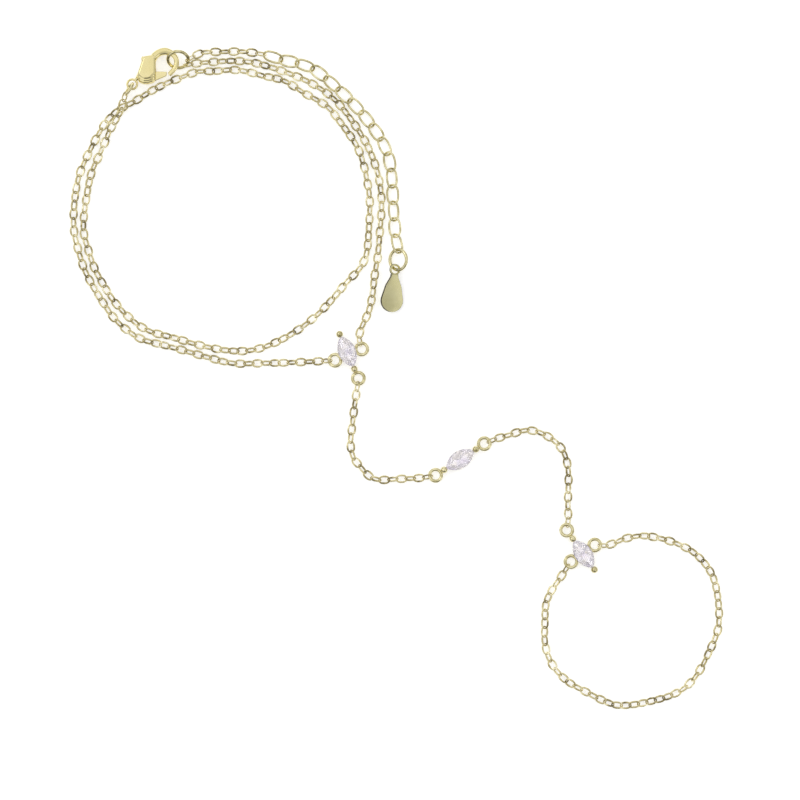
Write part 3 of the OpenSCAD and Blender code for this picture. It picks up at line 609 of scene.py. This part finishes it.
def lever_solid(grown, h, round_r):
    """The lever as overlapping rounded plates, grown by so much all round."""
    parts = [plate([(0, 0, HUB_R * UNIT + grown)], h, round_r)]
    for outline in (GATE, THUMB):
        corners = [Vector((x * UNIT, y * UNIT)) for x, y in outline]
        n = len(corners)
        circles = []
        for i, corner in enumerate(corners):
            a = (corner - corners[i - 1]).normalized()
            b = (corners[(i + 1) % n] - corner).normalized()
            na, nb = Vector((-a.y, a.x)), Vector((-b.y, b.x))
            c = corner - LEVER_SOFT * (na + nb) / (1 + na.dot(nb))
            circles.append((c.x, c.y, LEVER_SOFT + grown))
        parts.append(plate(circles, h, round_r))
    return parts


def fused(parts, voxel, smooth_steps):
    """Overlapping parts as one mesh with softened creases."""
    obj = shape(joined(parts))
    remesh = obj.modifiers.new("remesh", "REMESH")
    remesh.mode = "VOXEL"
    remesh.voxel_size = voxel
    even = obj.modifiers.new("even", "SMOOTH")
    even.factor = 0.5
    even.iterations = smooth_steps
    return applied(obj)


def melted(mesh, centre, reach, steps):
    """The mesh with its creases run together about a point."""
    obj = placed("work", mesh)
    group = obj.vertex_groups.new(name="near")
    for v in mesh.vertices:
        weight = 1 - (v.co - centre).length / reach
        if weight > 0:
            group.add([v.index], min(1.0, 2 * weight), "REPLACE")
    flow = obj.modifiers.new("flow", "SMOOTH")
    flow.factor = 0.5
    flow.iterations = steps
    flow.vertex_group = "near"
    return applied(obj)


def cut(mesh, knife):
    """The mesh less the space of the knife, an object that is then discarded."""
    obj = placed("work", mesh)
    mod = obj.modifiers.new("cut", "BOOLEAN")
    mod.operation = "DIFFERENCE"
    mod.solver = "EXACT"
    mod.object = knife
    out = applied(obj)
    discard(knife)
    return out


def crowned_body(corners, r, t):
    """The clasp's body: crowned face, softened edges, and a ribbed slope down to the eyelet's end."""
    edge_r, back_edge_r, crown = 0.42, 0.3, 0.035
    directions, rim_step, rings, crowding = 240, 0.07, 34, 1.6
    # the slope: which way it falls, which part of the rim is its end, and its drop along its run
    fall, fall_share, slope_run = (-0.75, -0.66), 0.78, 1.3
    slope_x = [0, 0.18, 0.36, 0.62, 0.74, 0.98, 1.12, 1.3]
    slope_z = [0, 0.03, 0.17, 0.21, 0.3, 0.34, 0.42, 0.56]
    across = np.array((0.77, -0.64))
    angles = [2 * math.pi * i / directions for i in range(directions)]
    dirs = np.array([(math.cos(w), math.sin(w)) for w in angles])
    centres = np.array(corners)
    reach = (dirs @ centres.T).max(axis=1) + r
    corner_rim = np.array([centres[np.argmax(centres @ d)] + r * d for d in dirs])
    rim = []
    for a, b in zip(corner_rim, np.roll(corner_rim, -1, axis=0)):
        n = max(1, int(np.ceil(np.linalg.norm(b - a) / rim_step)))
        rim += [a + (b - a) * i / n for i in range(n)]
    rim = np.array(rim)
    middle = rim.mean(axis=0)
    end = dirs @ np.array(fall) > fall_share

    def top(q):
        inward = reach[None, :] - q @ dirs.T
        e = np.clip(inward.min(axis=1), 0, None)
        z = np.full(len(q), t / 2) - crown * ((q - middle) @ across) ** 2
        z -= np.interp(slope_run - inward[:, end].min(axis=1), slope_x, slope_z)
        k = np.clip(1 - e / edge_r, 0, 1)
        return z - edge_r * (1 - np.sqrt(1 - k * k))

    def bottom(q):
        e = np.clip((reach[None, :] - q @ dirs.T).min(axis=1), 0, None)
        k = np.clip(1 - e / back_edge_r, 0, 1)
        return -t / 2 + back_edge_r * (1 - np.sqrt(1 - k * k))

    # rings of points from the face's middle out to the rim, and back in under it
    n = len(rim)
    shares = [1 - (1 - i / rings) ** crowding for i in range(1, rings + 1)]
    verts, faces = [(*middle, float(top(middle[None])[0]))], []
    for side, order in ((top, shares), (bottom, shares[::-1])):
        for share in order:
            q = middle + share * (rim - middle)
            verts += [(*a, z) for a, z in zip(q, side(q))]
    verts.append((*middle, -t / 2))
    last = 1 + (2 * rings - 1) * n
    for i in range(n):
        m = (i + 1) % n
        faces.append((0, 1 + i, 1 + m))
        for j in range(2 * rings - 1):
            faces.append((1 + j * n + i, 1 + (j + 1) * n + i, 1 + (j + 1) * n + m, 1 + j * n + m))
        faces.append((last + i, len(verts) - 1, last + m))
    return [tuple(float(c) for c in v) for v in verts], faces


# The clasp's body, claw, eyelet and neck as one casting, slotted for the lever.
clasp_matrix = (Matrix.Translation((*CLASP_AT, CLASP_T / 2))
                @ Matrix.Rotation(math.radians(CLASP_TURN), 4, "Z"))
eyelet_matrix = Matrix.Translation((EYELET[0] * UNIT, EYELET[1] * UNIT, 0))
neck = Vector((BODY_CORNERS[1][0] - EYELET[0], BODY_CORNERS[1][1] - EYELET[1])) * UNIT
neck_matrix = (eyelet_matrix @ Matrix.Rotation(math.atan2(neck.y, neck.x), 4, "Z")
               @ Matrix.Rotation(math.pi / 2, 4, "Y") @ Matrix.Translation((0, 0, EYELET_D / 2)))
casting = [crowned_body([(x * UNIT, y * UNIT) for x, y in BODY_CORNERS], CORNER_R * UNIT, CLASP_T),
           loft([tuple(c * UNIT for c in station) for station in CLAW]),
           moved(torus(EYELET_D / 2, EYELET_WIRE), eyelet_matrix),
           moved(cylinder(EYELET_WIRE / 2, CLASP_T / 4, neck.length - EYELET_D / 2), neck_matrix)]
mesh = fused(casting, voxel=0.045, smooth_steps=3)
mesh = melted(mesh, Vector((*MELT_AT, 0)) * UNIT, MELT_REACH, MELT_STEPS)
roomy_lever = lever_solid(SLOT_ROOM, LEVER_T + 2 * SLOT_ROOM, round_r=0.03)
slot_parts = []
for i in range(SLOT_TURNS + 1):
    swing = Matrix.Rotation(math.radians(LEVER_SWING * i / SLOT_TURNS), 4, "Z")
    slot_parts += [moved(q, swing) for q in roomy_lever]
mesh = cut(mesh, placed("knife", fused(slot_parts, voxel=0.05, smooth_steps=1)))
mesh.transform(Matrix.Scale(MM, 4) @ clasp_matrix)
dress("clasp_body_cast", mesh, POLISHED, ("clasp_body",), smooth=35)

# The lever with its bore, and the pin.
mesh = fused(lever_solid(0.0, LEVER_T, round_r=0.1), voxel=0.05, smooth_steps=3)
bore_r, bore_h = PIN_D / 2 + PIN_GAP, 2.0
bore = moved(cylinder(bore_r, bore_r, bore_h), Matrix.Translation((0, 0, -bore_h / 2)))
mesh = cut(mesh, shape(bore))
mesh.transform(Matrix.Scale(MM, 4) @ clasp_matrix)
dress("clasp_lever_cast", mesh, POLISHED, ("clasp_lever",), smooth=35, body="lever")

pin = cylinder(PIN_D / 2, PIN_D / 2, CLASP_T - 2 * PIN_INSET)
pin_matrix = clasp_matrix @ Matrix.Translation((0, 0, PIN_INSET - CLASP_T / 2))
piece("clasp_pin", moved(pin, pin_matrix), POLISHED, (), smooth=40)


# Rings: the loose ones take the place of the solids', the settings' are drawn over them.
def ring_piece(name, at, turn, tilt, r, wire, drawn, replaced=()):
    lift = Vector((0, 0, (drawn - wire) / 2 if tilt else 0.0))
    matrix = (Matrix.Translation(Vector(at) + lift) @ Matrix.Rotation(math.radians(turn), 4, "Z")
              @ Matrix.Rotation(math.radians(tilt), 4, "X"))
    piece(name, moved(torus(r, drawn), matrix), RING_GOLD_MOTTLE_AND_SHEEN, replaced, smooth=70)


ring_piece("tail_ring_wire", tail_at, TAIL_DIR, TAIL_TILT, TAIL_R, TAIL_WIRE, DRAWN_TAIL, ("tail_ring",))
ring_piece("claw_ring_wire", claw_ring_at, 0, CLAW_TILT, JUMP_R, JUMP_WIRE, DRAWN_JUMP, ("claw_ring",))
ring_piece("end_ring_wire", end_at, END_TURN, END_TILT, JUMP_R, JUMP_WIRE, DRAWN_JUMP, ("end_ring",))
for i, spots in enumerate((
        ((END_RING_X, 0), (SIDE_SHIFT_1, SIDE_RING_Y), (SIDE_SHIFT_1, -SIDE_RING_Y)),
        ((END_RING_X, 0), (-END_RING_X, 0)),
        ((-END_RING_X, 0), (SIDE_SHIFT_3, SIDE_RING_Y), (SIDE_SHIFT_3, -SIDE_RING_Y)))):
    for j, spot in enumerate(spots):
        ring_piece("setting_%d_ring_%d" % (i + 1, j + 1), setting_point(i, *spot), 0, 0,
                   SOLDER_R, SOLDER_WIRE, DRAWN_SOLDER)

# Tag: the drop shaped plate with softened edges, its eye, and the web between them.
tag_eye_at = ring_point(end_at, JUMP_R, END_TURN, END_TILT, TAG_HANG) - Vector((TAG_SLIP, 0, 0))
tag_pitch = math.asin((tag_eye_at.z - TAG_T / 2 - TAG_D / 2 * cos_sin(TAG_LEAN)[1])
                      / (TAG_REACH + TAG_TOUCH * TAG_D))
tag_matrix = (Matrix.Translation(tag_eye_at) @ Matrix.Rotation(math.radians(TAG_TURN), 4, "Z")
              @ Matrix.Rotation(tag_pitch, 4, "Y") @ Matrix.Rotation(math.radians(-TAG_LEAN), 4, "X"))
neck_x = TAG_EYE_D / 2 + TAG_NECK_W / 2
drop = plate([(TAG_REACH, 0, TAG_D / 2),
              (neck_x + TAG_SWELL_AT * (TAG_REACH - neck_x), 0, TAG_SWELL_W / 2),
              (neck_x, 0, TAG_NECK_W / 2)], TAG_T, round_r=0.1, n=200)
web_r, web_sunk = 0.1, 0.02
web = plate([(x, y, web_r) for x in (TAG_EYE_D / 2 + web_r, neck_x - web_r)
             for y in (web_r - WEB_SHARE * TAG_NECK_W, WEB_SHARE * TAG_NECK_W - web_r)],
            TAG_T - web_sunk, round_r=0.08, n=64)
eye = torus(TAG_EYE_D / 2, TAG_EYE_WIRE, TAG_EYE_H)
tag = piece("tag_plate", joined([moved(q, tag_matrix) for q in (drop, web, eye)]), TAG_GOLD,
            ("tag",), smooth=30)

# Painted shade: the tag's wall gets a near-black metal that stands in for a dark reflection, on faces of
# the plate and web, and of the eye's outer side, that stand on edge.
tag.data.materials.append(TAG_EDGE_PAINTED_SHADE)
plate_faces = len(drop[1]) + len(web[1])
across = (tag_matrix.to_3x3() @ Vector((0, 0, 1))).normalized()
ON_EDGE = 0.75
for i, face in enumerate(tag.data.polygons):
    outer = i < plate_faces or (face.center / MM - tag_eye_at).dot(face.normal) > 0
    if outer and abs(face.normal.dot(across)) < ON_EDGE:
        face.material_index = 1

# The settings and stones are the solids themselves, with these materials.
for i in (1, 2, 3):
    for name, material in (("setting_%d" % i, RING_GOLD_MOTTLE_AND_SHEEN), ("stone_%d" % i, STONE)):
        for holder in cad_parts[name].material_slots:
            holder.material = material

# Floor: white paper that glows a little, so that it comes out as even as in the photograph.
FLOOR_HALF = 3
mesh = bpy.data.meshes.new("floor")
mesh.from_pydata([(-FLOOR_HALF, -FLOOR_HALF, 0), (FLOOR_HALF, -FLOOR_HALF, 0),
                  (FLOOR_HALF, FLOOR_HALF, 0), (-FLOOR_HALF, FLOOR_HALF, 0)], [], [(0, 1, 2, 3)])
floor = placed("floor", mesh)
paper, _, shader = new_material("white_paper")
shader.inputs["Base Color"].default_value = (0.82, 0.82, 0.82, 1)
shader.inputs["Roughness"].default_value = 0.9
shader.inputs["Emission Color"].default_value = (1.0, 1.0, 1.0, 1)
shader.inputs["Emission Strength"].default_value = 0.48
mesh.materials.append(paper)


# Studio: a tent that is bright overhead and dark at its foot, with darker and brighter cards.
def card(tree, sky, direction, near, far, factor, rest=1.0):
    """Factor towards a direction of the tent and rest away from it, with a soft edge between."""
    aim = tree.nodes.new("ShaderNodeVectorMath")
    aim.operation = "DOT_PRODUCT"
    tree.links.new(sky, aim.inputs[0])
    aim.inputs[1].default_value = Vector(direction).normalized()
    fade = tree.nodes.new("ShaderNodeMapRange")
    fade.interpolation_type = "SMOOTHSTEP"
    for key, value in (("From Min", far), ("From Max", near), ("To Min", rest), ("To Max", factor)):
        fade.inputs[key].default_value = value
    tree.links.new(aim.outputs["Value"], fade.inputs["Value"])
    return fade.outputs["Result"]


def studio():
    world = bpy.data.worlds.new("studio")
    world.use_nodes = True
    tree = world.node_tree
    link = tree.links.new
    sky = tree.nodes.new("ShaderNodeTexCoord").outputs["Generated"]
    height = tree.nodes.new("ShaderNodeSeparateXYZ")
    link(sky, height.inputs["Vector"])
    greys = ((0.0, 0.08), (1.0, 1.0), (0.18, 0.1), (0.4, 0.85), (0.62, 1.0))
    tent = ramp(tree, height.outputs["Z"], [(where, (grey, grey, grey)) for where, grey in greys])
    both = tree.nodes.new("ShaderNodeMath")
    both.operation = "MULTIPLY"
    link(card(tree, sky, (0.413, -0.213, 0.882), near=0.965, far=0.9, factor=0.64), both.inputs[0])
    link(card(tree, sky, (0.1, -0.86, 0.5), near=0.93, far=0.8, factor=0.3), both.inputs[1])
    lit = tree.nodes.new("ShaderNodeVectorMath")
    lit.operation = "MAXIMUM"
    link(tent, lit.inputs[0])
    link(card(tree, sky, (-0.2, 0.92, 0.3), near=0.96, far=0.8, factor=0.85, rest=0.0), lit.inputs[1])
    shade = tree.nodes.new("ShaderNodeVectorMath")
    shade.operation = "SCALE"
    link(lit.outputs["Vector"], shade.inputs[0])
    link(both.outputs["Value"], shade.inputs["Scale"])
    link(shade.outputs["Vector"], tree.nodes["Background"].inputs["Color"])
    tree.nodes["Background"].inputs["Strength"].default_value = 1.0
    bpy.context.scene.world = world


def softbox(name, place, size, radiance):
    data = bpy.data.lights.new(name, "AREA")
    data.shape = "RECTANGLE"
    data.size, data.size_y = size
    data.energy = radiance * math.pi * size[0] * size[1]
    obj = placed(name, data)
    obj.location = place
    obj.rotation_euler = (-Vector(place)).to_track_quat("-Z", "Y").to_euler()


studio()
softbox("softbox_left", (-0.8, 0.35, 0.75), size=(0.45, 0.3), radiance=1.8)
softbox("softbox_right", (0.75, -0.45, 0.8), size=(0.35, 0.25), radiance=1.6)

# Camera: straight down, from far enough away for the photograph's flat view.
camera = bpy.data.cameras.new("camera")
camera.lens = 200
camera.sensor_width = 36
camera.clip_start, camera.clip_end = 0.05, 20
view = placed("camera", camera)
view.location = (0.00062, -0.0039, 0.8)
view.rotation_euler = (0, 0, 0)
bpy.context.scene.camera = view
bpy.context.scene.view_settings.view_transform = "Standard"
